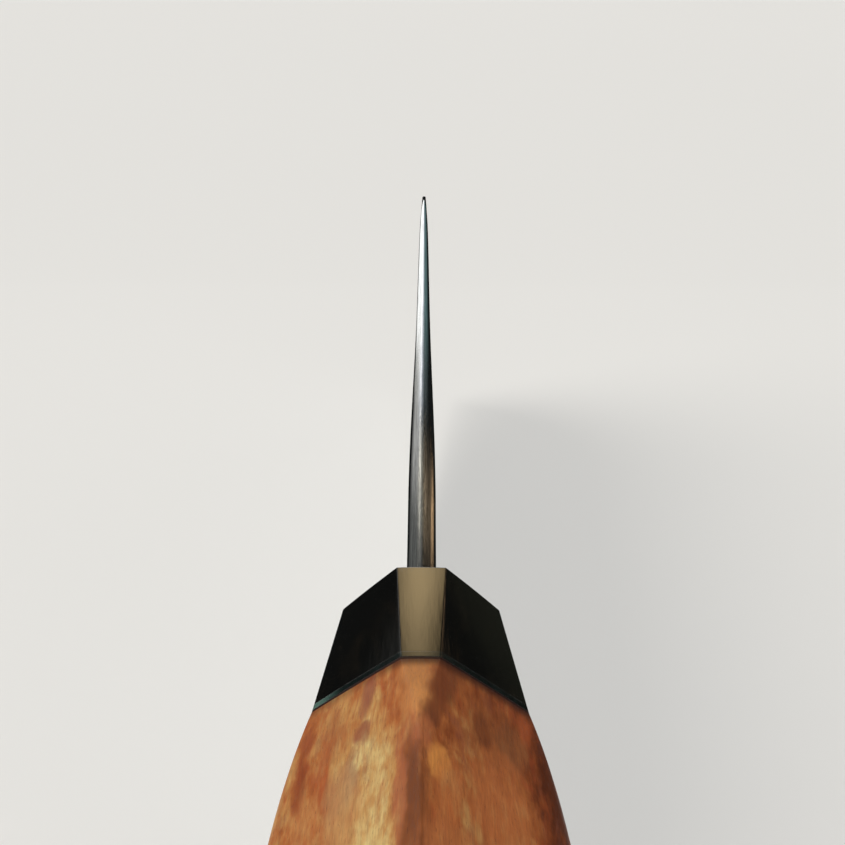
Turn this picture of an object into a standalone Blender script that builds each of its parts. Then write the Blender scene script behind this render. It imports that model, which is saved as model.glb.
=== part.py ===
import math

import bmesh
import bpy
import numpy as np
from mathutils import Matrix

# A santoku kitchen knife with a wooden handle of eight facets.
# +X runs from the butt of the handle to the tip of the blade, +Z to the spine, Y across the blade.
# The origin is the middle of the handle's flat butt.

MM = 0.001

# Blade, seen from the side
BLADE_LENGTH = 169.0 * MM
BLADE_HEIGHT = 46.0 * MM
NECK_LENGTH = 12.0 * MM
NECK_HEIGHT = 14.5 * MM
CHOIL_RADIUS = 6.0 * MM
SPINE_DROP = 0.9 * MM
SPINE_DROP_START = 38.0 * MM
NOSE_LENGTH = 45.0 * MM
NOSE_FULLNESS = 0.55
NOSE_ANGLE = math.radians(72)
TIP_RISE = 7.0 * MM
BELLY_LENGTH = 88.0 * MM
BELLY_POWER = 2.3

# Blade, thickness. The spine keeps its thickness past the heel and then tapers towards the tip.
SPINE_AT_HEEL = 3.05 * MM
SPINE_AT_MIDDLE = 1.75 * MM
SPINE_AT_NOSE = 1.1 * MM
SPINE_AT_TIP = 0.45 * MM
TAPER_START = 14.0 * MM
TAPER_MIDDLE = 74.0 * MM
TAPER_NOSE = 115.0 * MM
TAPER_TIP = 136.0 * MM
BEHIND_EDGE = 0.36 * MM
EDGE_BEVEL_HEIGHT = 0.8 * MM
FLANK_FLATNESS = 0.75
FLANK_FLAT_FROM = 0.35
GRIND_BLEND_LENGTH = 8.0 * MM
GRIND_BLEND_HEIGHT = 9.0 * MM
SPINE_CROWN = 0.55
EASED_EDGE = 0.4 * MM

# Tang, hidden in the handle
TANG_LENGTH = 95.0 * MM
TANG_HEIGHT = 10.5 * MM
TANG_END_HEIGHT = 6.0 * MM
TANG_END_THICKNESS = 2.2 * MM
TANG_SHOULDER_START = 1.5 * MM

# Handle, lengths from the ferrule's front face back to the butt
FERRULE_LENGTH = 23.1 * MM
SPACER_LENGTH = 1.3 * MM
LINER_LENGTH = 0.6 * MM
WOOD_LENGTH = 110.0 * MM
SWELL_FROM_JOINT = 56.0 * MM

# Handle, sections: width across the flats, height, height of the side facet, width of the top facet
FRONT_WIDTH = 16.0 * MM
FRONT_HEIGHT = 20.0 * MM
FRONT_SIDE = 10.6 * MM
FRONT_TOP = 5.0 * MM
JOINT_WIDTH = 20.9 * MM
JOINT_HEIGHT = 22.0 * MM
JOINT_SIDE = 10.6 * MM
JOINT_TOP = 3.8 * MM
SWELL_WIDTH = 29.5 * MM
SWELL_HEIGHT = 29.0 * MM
SWELL_SIDE = 11.5 * MM
BUTT_WIDTH = 26.5 * MM
BUTT_HEIGHT = 26.8 * MM
RIDGE_TOP = 0.6 * MM
RIDGE_FROM_JOINT = 17.0 * MM
CRISP_RADIUS = 0.5 * MM
SWELL_RADIUS = 7.0 * MM
ROUNDING_LENGTH = 34.0 * MM
FERRULE_FRONT_ROUND = 0.5 * MM
BUTT_ROUND = 2.4 * MM

# Joinery inside the handle
FERRULE_WALL = 6.0 * MM
DOWEL_DIAMETER = 12.6 * MM
DOWEL_PAST_TANG = 8.0 * MM
FIT_GAP = 0.3 * MM
OVERCUT = 2.0 * MM

# Fineness of the blade's loft: ribs run from the spine down to the lower outline. Those of the choil
# and the heel fan out over the first stretch of the spine, and the last stands a part of a step
# short of the tip.
TANG_RIBS = 12
SHOULDER_RIBS = 6
NECK_RIBS = 3
CHOIL_RIBS = 9
FAN_LENGTH = 23.0 * MM
BLADE_RIBS = 46
NOSE_ARC = 1.3
EDGE_SPREAD = 1.15
LAST_RIB_STEP = 0.4
CROWN_STEPS = 5
FLANK_ROWS = 9
ROUND_SHARE = 0.2

# Fineness of the handle's lofts, and the place of a ring's points beside its eased corners
FERRULE_SECTIONS = 8
WOOD_SECTIONS = 24
WOOD_SPREAD = 1.25
ROUND_STEPS = 4
DOWEL_SIDES = 36
CORNER_HARDNESS = 14
CORNER_STEP = 0.32
CORNER_SHARE = 0.2
SHARP_ANGLE = math.radians(14)
WELD_DISTANCE = 0.001 * MM

HEAD_LENGTH = FERRULE_LENGTH + SPACER_LENGTH + LINER_LENGTH
HANDLE_LENGTH = HEAD_LENGTH + WOOD_LENGTH
DOWEL_END = TANG_LENGTH + DOWEL_PAST_TANG
HEEL_U = NECK_LENGTH
TIP_U = NECK_LENGTH + BLADE_LENGTH
NECK_TOP = NECK_HEIGHT / 2
EDGE_Z = NECK_TOP - BLADE_HEIGHT
BORE_RADIUS = DOWEL_DIAMETER / 2 + FIT_GAP


def smooth_through(points, x):
    """A smooth curve through the points, level at both ends, that never overshoots them."""
    xs = np.array([p[0] for p in points])
    ys = np.array([p[1] for p in points])
    rises = np.diff(ys) / np.diff(xs)
    tangents = np.zeros(len(xs))
    for i in range(1, len(xs) - 1):
        if rises[i - 1] * rises[i] > 0:
            tangents[i] = 2 * rises[i - 1] * rises[i] / (rises[i - 1] + rises[i])
    x = min(max(x, xs[0]), xs[-1])
    i = min(int(np.searchsorted(xs, x, side="right")) - 1, len(xs) - 2)
    span = xs[i + 1] - xs[i]
    t = (x - xs[i]) / span
    start = (1 + 2 * t) * (1 - t) ** 2 * ys[i] + t * (1 - t) ** 2 * span * tangents[i]
    end = t**2 * (3 - 2 * t) * ys[i + 1] - t**2 * (1 - t) * span * tangents[i + 1]
    return float(start + end)


def smooth_step(x):
    t = min(max(x, 0.0), 1.0)
    return t * t * (3 - 2 * t)


def blend(a, b, t):
    return a + (b - a) * t


# Materials

def make_material(name, color, metallic, roughness, coat=0.0):
    material = bpy.data.materials.new(name)
    material.use_nodes = True
    shader = material.node_tree.nodes["Principled BSDF"]
    shader.inputs["Base Color"].default_value = (*color, 1.0)
    shader.inputs["Metallic"].default_value = metallic
    shader.inputs["Roughness"].default_value = roughness
    shader.inputs["Coat Weight"].default_value = coat
    material.diffuse_color = (*color, 1.0)
    return material


# Handle sections. u is the distance back from the ferrule's front face.

def eased_octagon(width, height, side, top, radius):
    """A ring of (y, z) points: eight planes meeting in corners eased to about the radius."""
    half_width, half_height = width / 2, height / 2
    half_side, half_top = side / 2, top / 2
    slant = math.atan2(half_height - half_side, half_width - half_top)
    slant_distance = half_top * math.sin(slant) + half_height * math.cos(slant)
    planes = [(0.0, half_height), (math.pi, half_height)]
    planes += [(math.pi / 2, half_width), (-math.pi / 2, half_width)]
    for angle in (slant, -slant, math.pi - slant, math.pi + slant):
        planes.append((angle, slant_distance))
    top_corner = math.atan2(half_top, half_height)
    side_corner = math.atan2(half_width, half_side)
    quarter = [top_corner, side_corner, math.pi - side_corner, math.pi - top_corner]
    corners = quarter + [a + math.pi for a in quarter]
    sharpness = CORNER_HARDNESS * half_width / radius
    ring = []
    for start, end in zip(corners, corners[1:] + [corners[0] + 2 * math.pi]):
        facet = end - start
        ease = min(CORNER_SHARE * facet, CORNER_STEP * radius / half_width)
        third = facet / 3
        for angle in (start, start + ease, start + third, start + facet / 2, end - third, end - ease):
            pull = 0.0
            for normal, distance in planes:
                pull += max(0.0, math.cos(angle - normal) * half_width / distance) ** sharpness
            reach = half_width * pull ** (-1 / sharpness)
            ring.append((reach * math.sin(angle), reach * math.cos(angle)))
    return ring


def handle_section(u):
    """The handle's ring at u: straight facets on the head, then the wood's swelling barrel."""
    if u <= HEAD_LENGTH:
        t = u / HEAD_LENGTH
        return eased_octagon(
            blend(FRONT_WIDTH, JOINT_WIDTH, t),
            blend(FRONT_HEIGHT, JOINT_HEIGHT, t),
            blend(FRONT_SIDE, JOINT_SIDE, t),
            blend(FRONT_TOP, JOINT_TOP, t),
            CRISP_RADIUS,
        )
    s = u - HEAD_LENGTH
    if s <= SWELL_FROM_JOINT:
        t = 1 - (1 - s / SWELL_FROM_JOINT) ** 2
        width = blend(JOINT_WIDTH, SWELL_WIDTH, t)
        height = blend(JOINT_HEIGHT, SWELL_HEIGHT, t)
        side = blend(JOINT_SIDE, SWELL_SIDE, t)
    else:
        t = ((s - SWELL_FROM_JOINT) / (WOOD_LENGTH - SWELL_FROM_JOINT)) ** 2
        width = blend(SWELL_WIDTH, BUTT_WIDTH, t)
        height = blend(SWELL_HEIGHT, BUTT_HEIGHT, t)
        side = SWELL_SIDE
    top = blend(JOINT_TOP, RIDGE_TOP, min(1.0, s / RIDGE_FROM_JOINT))
    radius = blend(CRISP_RADIUS, SWELL_RADIUS, smooth_step(s / ROUNDING_LENGTH))
    return eased_octagon(width, height, side, top, radius)


def scaled(ring, inset):
    """The ring drawn in towards the handle's axis by the inset at its sides."""
    factor = 1 - inset / max(abs(y) for y, z in ring)
    return [(y * factor, z * factor) for y, z in ring]


def rounded_end(u, length, toward):
    """Sections that round the rim at u over the length; toward is +1 where the piece lies behind u."""
    sections = []
    for step in range(ROUND_STEPS):
        angle = math.pi / 2 * step / ROUND_STEPS
        back = u + toward * length * (1 - math.cos(angle))
        sections.append((back, scaled(handle_section(back), length * (1 - math.sin(angle)))))
    return sections


def loft(sections, rear_u):
    """A closed solid through the sections, in a frame whose x = 0 lies at rear_u."""
    bm = bmesh.new()
    rings = []
    for u, ring in sections:
        rings.append([bm.verts.new((rear_u - u, y, z)) for y, z in ring])
    for near, far in zip(rings, rings[1:]):
        for i in range(len(near)):
            j = (i + 1) % len(near)
            bm.faces.new((near[i], near[j], far[j], far[i]))
    bm.faces.new(rings[0])
    bm.faces.new(rings[-1])
    bmesh.ops.recalc_face_normals(bm, faces=bm.faces)
    return bm


# Objects

def clear_scene():
    for obj in list(bpy.data.objects):
        bpy.data.objects.remove(obj, do_unlink=True)


def new_collection(name):
    collection = bpy.data.collections.new(name)
    bpy.context.scene.collection.children.link(collection)
    return collection


def add_object(name, bm, collection, material, parent, x):
    mesh = bpy.data.meshes.new(name)
    bm.to_mesh(mesh)
    bm.free()
    obj = bpy.data.objects.new(name, mesh)
    collection.objects.link(obj)
    obj.parent = parent
    obj.location = (x, 0, 0)
    if material:
        mesh.materials.append(material)
    mesh.shade_smooth()
    mesh.set_sharp_from_angle(angle=SHARP_ANGLE)
    return obj


def add_cutter(name, bm, collection, parent, x):
    cutter = add_object(name, bm, collection, None, parent, x)
    cutter.hide_render = True
    cutter.display_type = "WIRE"
    return cutter


def cut(obj, cutter):
    modifier = obj.modifiers.new("cut " + cutter.name, "BOOLEAN")
    modifier.operation = "DIFFERENCE"
    modifier.solver = "EXACT"
    modifier.object = cutter


def box(x0, x1, width, height):
    bm = bmesh.new()
    bmesh.ops.create_cube(bm, size=1.0)
    bmesh.ops.scale(bm, vec=(x1 - x0, width, height), verts=bm.verts)
    bmesh.ops.translate(bm, vec=((x0 + x1) / 2, 0, 0), verts=bm.verts)
    return bm


def rod(x0, x1, radius):
    """A round rod along X, from x0 to x1."""
    bm = bmesh.new()
    bmesh.ops.create_cone(
        bm,
        cap_ends=True,
        segments=DOWEL_SIDES,
        radius1=radius,
        radius2=radius,
        depth=x1 - x0,
        matrix=Matrix.Rotation(math.pi / 2, 4, "Y"),
    )
    bmesh.ops.translate(bm, vec=((x0 + x1) / 2, 0, 0), verts=bm.verts)
    return bm


# Blade. u runs forward from the ferrule's front face, and the tang has negative u.

def spine_line(u):
    """Height of the spine, without the nose's curve."""
    start = HEEL_U + SPINE_DROP_START
    t = max(0.0, (u - start) / (TIP_U - NOSE_LENGTH - start))
    return NECK_TOP - SPINE_DROP * t**2


def edge_line(u):
    """Height of the cutting edge: straight from the heel, then the belly's rise."""
    t = max(0.0, (u - (TIP_U - BELLY_LENGTH)) / BELLY_LENGTH)
    return EDGE_Z + TIP_RISE * t**BELLY_POWER


def tang_half_height(u):
    """Half the height of the neck and tang at u, with shoulders inside the ferrule's wall."""
    shoulder_end = -(FERRULE_WALL - FIT_GAP)
    if u > shoulder_end:
        t = smooth_step((-TANG_SHOULDER_START - u) / (-TANG_SHOULDER_START - shoulder_end))
        return blend(NECK_HEIGHT, TANG_HEIGHT, t) / 2
    t = (shoulder_end - u) / (TANG_LENGTH + shoulder_end)
    return blend(TANG_HEIGHT, TANG_END_HEIGHT, t) / 2


def spine_thickness(u):
    if u < 0:
        return blend(SPINE_AT_HEEL, TANG_END_THICKNESS, -u / TANG_LENGTH)
    stations = (
        (0.0, SPINE_AT_HEEL),
        (HEEL_U + TAPER_START, SPINE_AT_HEEL),
        (HEEL_U + TAPER_MIDDLE, SPINE_AT_MIDDLE),
        (HEEL_U + TAPER_NOSE, SPINE_AT_NOSE),
        (HEEL_U + TAPER_TIP, SPINE_AT_TIP),
    )
    return smooth_through(stations, u)


def half_thickness(u, z):
    """Half the steel's thickness: flat flanks that turn convex towards the edge, thick at the neck."""
    slab = spine_thickness(u) / 2
    thin = BEHIND_EDGE / 2
    low = edge_line(u) + EDGE_BEVEL_HEIGHT
    v = min(max((z - low) / (spine_line(u) - low), 0.0), 1.0)
    if v >= FLANK_FLAT_FROM:
        share = 1 - FLANK_FLATNESS * (1 - v)
    else:
        at_flat = 1 - FLANK_FLATNESS * (1 - FLANK_FLAT_FROM)
        bend = FLANK_FLATNESS / FLANK_FLAT_FROM - at_flat / FLANK_FLAT_FROM**2
        share = (at_flat / FLANK_FLAT_FROM - bend * FLANK_FLAT_FROM) * v + bend * v**2
    ground = thin + (slab - thin) * share
    along = smooth_step((u - HEEL_U + CHOIL_RADIUS) / (CHOIL_RADIUS + GRIND_BLEND_LENGTH))
    below = smooth_step((-NECK_HEIGHT / 2 - z) / GRIND_BLEND_HEIGHT)
    return blend(slab, ground, 1 - (1 - along) * (1 - below))


def nose_point(t):
    """A point of the spine's curve down to the tip, and the normal into the steel."""
    start = np.array((TIP_U - NOSE_LENGTH, spine_line(TIP_U - NOSE_LENGTH)))
    tip = np.array((TIP_U, edge_line(TIP_U)))
    length, drop = tip[0] - start[0], start[1] - tip[1]
    ahead = start + np.array((length * NOSE_FULLNESS, 0.0))
    above = tip + drop * NOSE_FULLNESS * np.array((-math.cos(NOSE_ANGLE), math.sin(NOSE_ANGLE)))
    point = (1 - t) ** 3 * start + 3 * (1 - t) ** 2 * t * ahead
    point = point + 3 * (1 - t) * t**2 * above + t**3 * tip
    run = (1 - t) ** 2 * (ahead - start) + 2 * (1 - t) * t * (above - ahead) + t**2 * (tip - above)
    run = run / np.linalg.norm(run)
    return point, np.array((run[1], -run[0]))


def top_point(start_u, t):
    """A point along the spine from start_u to the tip, with its normal into the steel."""
    straight = TIP_U - NOSE_LENGTH - start_u
    share = straight / (straight + NOSE_ARC * NOSE_LENGTH)
    if t <= share:
        u = start_u + straight * t / share
        return np.array((u, spine_line(u))), np.array((0.0, -1.0))
    return nose_point((t - share) / (1 - share))


def rib(top, top_normal, bottom, bottom_normal, is_edge):
    """One line of points down the flank, from the spine's crown to a flat edge bevel or a rounded edge."""
    most = ROUND_SHARE * np.linalg.norm(top - bottom)
    crown = min(SPINE_CROWN * spine_thickness(top[0]) / 2, most)
    foot = min(EDGE_BEVEL_HEIGHT if is_edge else EASED_EDGE, most)
    shoulder = top + top_normal * crown
    toe = bottom + bottom_normal * foot
    points = []
    wide = half_thickness(*shoulder)
    for step in range(CROWN_STEPS):
        turn = math.pi / 2 * step / CROWN_STEPS
        at = top + top_normal * crown * (1 - math.cos(turn))
        points.append((at[0], wide * math.sin(turn), at[1]))
    for row in range(FLANK_ROWS + 1):
        at = blend(shoulder, toe, row / FLANK_ROWS)
        points.append((at[0], half_thickness(*at), at[1]))
    if is_edge:
        rise, spread = 0.5, 0.5
    else:
        rise, spread = 1 - math.cos(math.pi / 4), math.sin(math.pi / 4)
    middle = bottom + bottom_normal * foot * rise
    points.append((middle[0], half_thickness(*toe) * spread, middle[1]))
    points.append((bottom[0], 0.0, bottom[1]))
    return points


def blade_ribs():
    up, down, ahead = np.array((0.0, 1.0)), np.array((0.0, -1.0)), np.array((1.0, 0.0))
    ribs = []
    stations = list(np.linspace(-TANG_LENGTH, -FERRULE_WALL, TANG_RIBS))
    stations += list(np.linspace(-FERRULE_WALL, 0.0, SHOULDER_RIBS))[1:]
    stations += list(np.linspace(0.0, HEEL_U - CHOIL_RADIUS, NECK_RIBS))[1:]
    for u in stations:
        half = tang_half_height(u)
        ribs.append(rib(np.array((u, half)), down, np.array((u, -half)), up, False))
    centre = np.array((HEEL_U - CHOIL_RADIUS, -NECK_HEIGHT / 2 - CHOIL_RADIUS))
    lower = []
    for step in range(1, CHOIL_RIBS + 1):
        turn = math.pi / 2 * (1 - step / CHOIL_RIBS)
        normal = np.array((math.cos(turn), math.sin(turn)))
        lower.append((centre + CHOIL_RADIUS * normal, normal))
    heel_top = EDGE_Z + EDGE_BEVEL_HEIGHT
    for z in np.linspace(centre[1], heel_top, CHOIL_RIBS)[1:]:
        lower.append((np.array((HEEL_U, z)), ahead))
    fan_start = HEEL_U - CHOIL_RADIUS
    fan_end = HEEL_U + FAN_LENGTH
    for i, (bottom, normal) in enumerate(lower):
        u = blend(fan_start, fan_end, (i + 1) / len(lower))
        ribs.append(rib(np.array((u, spine_line(u))), down, bottom, normal, False))
    heel = np.array((HEEL_U, EDGE_Z))
    heel_normal = np.array((EASED_EDGE, EDGE_BEVEL_HEIGHT)) / EDGE_BEVEL_HEIGHT
    ribs.append(rib(np.array((fan_end, spine_line(fan_end))), down, heel, heel_normal, True))
    for step in list(range(1, BLADE_RIBS)) + [BLADE_RIBS - LAST_RIB_STEP]:
        t = step / BLADE_RIBS
        top, normal = top_point(fan_end, t)
        u = blend(HEEL_U, TIP_U, 1 - (1 - t) ** EDGE_SPREAD)
        ribs.append(rib(top, normal, np.array((u, edge_line(u))), up, True))
    return ribs


def blade_mesh():
    """The right half of the steel, open at y = 0, where the Mirror modifier joins the left half."""
    bm = bmesh.new()
    rows = [[bm.verts.new(point) for point in points] for points in blade_ribs()]
    for near, far in zip(rows, rows[1:]):
        for i in range(len(near) - 1):
            bm.faces.new((near[i], near[i + 1], far[i + 1], far[i]))
    bm.faces.new(rows[0])
    tip = bm.verts.new((TIP_U, 0.0, edge_line(TIP_U)))
    for i in range(len(rows[-1]) - 1):
        bm.faces.new((rows[-1][i], rows[-1][i + 1], tip))
    bmesh.ops.remove_doubles(bm, verts=bm.verts, dist=WELD_DISTANCE)
    bmesh.ops.recalc_face_normals(bm, faces=bm.faces)
    return bm


def make_blade(collection, material, parent):
    blade = add_object("blade", blade_mesh(), collection, material, parent, HANDLE_LENGTH)
    mirror = blade.modifiers.new("both flanks", "MIRROR")
    mirror.use_axis = (False, True, False)
    mirror.use_mirror_merge = True
    mirror.merge_threshold = WELD_DISTANCE
    return blade


def make_ferrule(collection, cutters, material, parent):
    rear = WOOD_LENGTH + LINER_LENGTH + SPACER_LENGTH
    sections = rounded_end(0.0, FERRULE_FRONT_ROUND, 1)
    for u in np.linspace(FERRULE_FRONT_ROUND, FERRULE_LENGTH, FERRULE_SECTIONS):
        sections.append((u, handle_section(u)))
    ferrule = add_object("ferrule", loft(sections, FERRULE_LENGTH), collection, material, parent, rear)
    slot = box(
        FERRULE_LENGTH - FERRULE_WALL - OVERCUT,
        FERRULE_LENGTH + OVERCUT,
        SPINE_AT_HEEL + 2 * FIT_GAP,
        NECK_HEIGHT + 2 * FIT_GAP,
    )
    bore = rod(-OVERCUT, FERRULE_LENGTH - FERRULE_WALL, BORE_RADIUS)
    cut(ferrule, add_cutter("ferrule_slot", slot, cutters, parent, rear))
    cut(ferrule, add_cutter("ferrule_bore", bore, cutters, parent, rear))
    return ferrule


def make_plate(name, start_u, length, collection, cutters, material, parent):
    """A thin plate between ferrule and wood, flush with the handle's facets and bored for the dowel."""
    rear = HANDLE_LENGTH - start_u - length
    sections = [(u, handle_section(u)) for u in (start_u, start_u + length)]
    plate = add_object(name, loft(sections, start_u + length), collection, material, parent, rear)
    bore = rod(-OVERCUT, length + OVERCUT, BORE_RADIUS)
    cut(plate, add_cutter(name + "_bore", bore, cutters, parent, rear))
    return plate


def make_handle_body(collection, cutters, material, parent):
    sections = []
    straight_end = HANDLE_LENGTH - BUTT_ROUND
    for i in range(WOOD_SECTIONS + 1):
        t = (i / WOOD_SECTIONS) ** WOOD_SPREAD
        u = blend(HEAD_LENGTH, straight_end, t)
        sections.append((u, handle_section(u)))
    sections += reversed(rounded_end(HANDLE_LENGTH, BUTT_ROUND, -1))
    body = add_object("handle_body", loft(sections, HANDLE_LENGTH), collection, material, parent, 0)
    bore = rod(HANDLE_LENGTH - DOWEL_END - FIT_GAP, WOOD_LENGTH + OVERCUT, BORE_RADIUS)
    cut(body, add_cutter("handle_bore", bore, cutters, parent, 0))
    return body


def make_tang_dowel(collection, cutters, material, parent):
    """The dowel runs from just behind the ferrule's front wall to a solid end past the tang."""
    rear = HANDLE_LENGTH - DOWEL_END
    length = DOWEL_END - FERRULE_WALL - FIT_GAP
    dowel = rod(0.0, length, DOWEL_DIAMETER / 2)
    dowel = add_object("tang_dowel", dowel, collection, material, parent, rear)
    slot = box(
        DOWEL_PAST_TANG - FIT_GAP,
        length + OVERCUT,
        SPINE_AT_HEEL + 2 * FIT_GAP,
        DOWEL_DIAMETER + 2 * OVERCUT,
    )
    cut(dowel, add_cutter("dowel_slot", slot, cutters, parent, rear))
    return dowel


def main():
    clear_scene()
    knife = new_collection("Santoku knife")
    cutters = new_collection("Cutters")
    root = bpy.data.objects.new("santoku_knife", None)
    knife.objects.link(root)
    steel = make_material("polished_steel", (0.62, 0.63, 0.64), 1.0, 0.22)
    horn = make_material("black_horn", (0.012, 0.012, 0.011), 0.0, 0.18, coat=0.5)
    teal = make_material("teal_plate", (0.05, 0.085, 0.09), 0.6, 0.25)
    fibre = make_material("dark_fibre", (0.02, 0.008, 0.006), 0.0, 0.5)
    wood = make_material("figured_wood", (0.42, 0.17, 0.07), 0.0, 0.38, coat=0.3)
    pale_wood = make_material("dowel_wood", (0.62, 0.45, 0.27), 0.0, 0.6)
    make_blade(knife, steel, root)
    make_ferrule(knife, cutters, horn, root)
    make_plate("spacer", FERRULE_LENGTH, SPACER_LENGTH, knife, cutters, teal, root)
    make_plate("liner", FERRULE_LENGTH + SPACER_LENGTH, LINER_LENGTH, knife, cutters, fibre, root)
    make_handle_body(knife, cutters, wood, root)
    make_tang_dowel(knife, cutters, pale_wood, root)


main()
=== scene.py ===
import math

import bpy
import numpy as np
from mathutils import Matrix, Vector


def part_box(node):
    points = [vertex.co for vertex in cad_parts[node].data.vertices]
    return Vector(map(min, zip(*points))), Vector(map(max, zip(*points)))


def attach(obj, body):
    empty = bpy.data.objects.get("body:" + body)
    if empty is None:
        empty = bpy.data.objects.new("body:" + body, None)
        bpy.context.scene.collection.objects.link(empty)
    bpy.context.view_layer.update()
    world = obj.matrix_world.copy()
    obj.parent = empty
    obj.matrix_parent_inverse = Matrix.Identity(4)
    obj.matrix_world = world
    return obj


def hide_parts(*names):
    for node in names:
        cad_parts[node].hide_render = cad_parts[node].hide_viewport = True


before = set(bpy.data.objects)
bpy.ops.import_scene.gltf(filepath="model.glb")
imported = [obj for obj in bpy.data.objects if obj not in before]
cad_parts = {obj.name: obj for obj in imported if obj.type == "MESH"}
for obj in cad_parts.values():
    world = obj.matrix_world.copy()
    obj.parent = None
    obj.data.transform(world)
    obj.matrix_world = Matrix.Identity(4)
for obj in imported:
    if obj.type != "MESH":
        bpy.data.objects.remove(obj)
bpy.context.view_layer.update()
mm = 0.001
print("frame loaded:", ", ".join(sorted(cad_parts)))

# The knife lies along X, butt at 0 and tip at the far end, with the spine up.
# Shapes are worked out in millimetres. u is the distance from the ferrule's front face:
# back from it for the handle, ahead of it for the blade.
ferruleLow, ferruleHigh = (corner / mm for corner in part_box("ferrule"))
spacerLow, spacerHigh = (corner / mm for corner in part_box("spacer"))
linerLow, linerHigh = (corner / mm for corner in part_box("liner"))
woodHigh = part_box("handle_body")[1] / mm
bladeLow, bladeHigh = (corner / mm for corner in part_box("blade"))
frontX = ferruleHigh.x
headLength = frontX - woodHigh.x
floorHeight = bladeLow.z


def mix(a, b, t):
    return a + (b - a) * t


def smoothStep(t):
    t = min(max(t, 0.0), 1.0)
    return t * t * (3 - 2 * t)


def smoothThrough(points, x):
    # a curve through the points, level at both ends, that never overshoots them
    xs, ys = np.array(points, float).T
    rises = np.diff(ys) / np.diff(xs)
    slopes = np.zeros(len(xs))
    for i in range(1, len(xs) - 1):
        if rises[i - 1] * rises[i] > 0:
            slopes[i] = 2 * rises[i - 1] * rises[i] / (rises[i - 1] + rises[i])
    x = min(max(x, xs[0]), xs[-1])
    i = min(int(np.searchsorted(xs, x, side="right")) - 1, len(xs) - 2)
    span = xs[i + 1] - xs[i]
    t = (x - xs[i]) / span
    first = (1 + 2 * t) * (1 - t) ** 2 * ys[i] + t * (1 - t) ** 2 * span * slopes[i]
    last = t**2 * (3 - 2 * t) * ys[i + 1] - t**2 * (1 - t) * span * slopes[i + 1]
    return float(first + last)


# Materials are built from a few small node helpers. Colours are written as they look on screen.

def paint(red, green, blue):
    linear = []
    for value in (red, green, blue):
        value = value / 255
        linear.append(value / 12.92 if value <= 0.04045 else ((value + 0.055) / 1.055) ** 2.4)
    return (*linear, 1.0)


def addNode(tree, kind, inputs=None, **settings):
    made = tree.nodes.new("ShaderNode" + kind)
    for name, value in settings.items():
        setattr(made, name, value)
    for name, value in (inputs or {}).items():
        if isinstance(value, bpy.types.NodeSocket):
            tree.links.new(value, made.inputs[name])
        else:
            made.inputs[name].default_value = value
    return made


def calc(tree, operation, first, second=0.0, clamp=False):
    return addNode(tree, "Math", {0: first, 1: second}, operation=operation, use_clamp=clamp).outputs[0]


def remap(tree, value, low, high, toLow=0.0, toHigh=1.0):
    limits = {"Value": value, "From Min": low, "From Max": high, "To Min": toLow, "To Max": toHigh}
    return addNode(tree, "MapRange", limits, interpolation_type="SMOOTHSTEP").outputs["Result"]


def blendColor(tree, share, first, second, mode="MIX"):
    made = addNode(tree, "Mix", {0: share, 6: first, 7: second}, data_type="RGBA", blend_type=mode)
    return made.outputs[2]


def ramp(tree, value, stops):
    made = addNode(tree, "ValToRGB", {"Fac": value})
    elements = made.color_ramp.elements
    while len(elements) < len(stops):
        elements.new(0.5)
    for element, (place, color) in zip(elements, stops):
        element.position = place
        element.color = color
    return made.outputs["Color"]


def placeInMm(tree):
    coordinates = addNode(tree, "TexCoord").outputs["Object"]
    return addNode(tree, "VectorMath", {0: coordinates, "Scale": 1 / mm}, operation="SCALE").outputs[0]


def grain(tree, place, size, detail=3.0, rough=0.55, warp=0.0, offset=(0, 0, 0)):
    # noise with cells of about that size in millimetres along X, Y and Z
    scale = tuple(1 / side for side in size)
    mapped = addNode(tree, "Mapping", {"Vector": place, "Scale": scale, "Location": offset})
    noise = {"Vector": mapped.outputs[0], "Scale": 1.0, "Detail": detail, "Roughness": rough,
             "Distortion": warp}
    return addNode(tree, "TexNoise", noise).outputs["Fac"]


def spread(tree, noise, low=0.0, high=1.0):
    # noise mostly lies between 0.3 and 0.7
    return remap(tree, noise, 0.3, 0.7, low, high)


def edgeShare(tree):
    # how near a point of the handle is to a worn edge
    return addNode(tree, "Attribute", attribute_name="nearEdge").outputs["Fac"]


def bump(tree, height, depth, strength):
    # depth is in millimetres
    inputs = {"Height": height, "Distance": depth * mm, "Strength": strength}
    return addNode(tree, "Bump", inputs).outputs["Normal"]


def newMaterial(name, **uniform):
    material = bpy.data.materials.new(name)
    material.use_nodes = True
    tree = material.node_tree
    shader = tree.nodes["Principled BSDF"]
    for socket, value in uniform.items():
        shader.inputs[socket.replace("_", " ")].default_value = value
    return material, tree, shader


def wire(tree, shader, **sockets):
    for name, value in sockets.items():
        tree.links.new(value, shader.inputs[name.replace("_", " ")])


# Meshes are lofts: rings of points in millimetres, joined by faces.

def loft(name, rings, materials, sharpAngle, capFirst=False, capLast=False, closed=False):
    count = len(rings[0])
    points = [Vector(point) * mm for ring in rings for point in ring]
    faces = []
    spans = len(rings) if closed else len(rings) - 1
    for r in range(spans):
        near, far = r * count, (r + 1) % len(rings) * count
        for i in range(count):
            j = (i + 1) % count
            faces.append((near + i, near + j, far + j, far + i))
    if capFirst:
        faces.append(tuple(range(count - 1, -1, -1)))
    if capLast:
        last = (len(rings) - 1) * count
        faces.append(tuple(range(last, last + count)))
    mesh = bpy.data.meshes.new(name)
    mesh.from_pydata(points, [], faces)
    for material in materials:
        mesh.materials.append(material)
    mesh.shade_smooth()
    mesh.set_sharp_from_angle(angle=math.radians(sharpAngle))
    piece = bpy.data.objects.new(name, mesh)
    bpy.context.scene.collection.objects.link(piece)
    return piece


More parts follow.
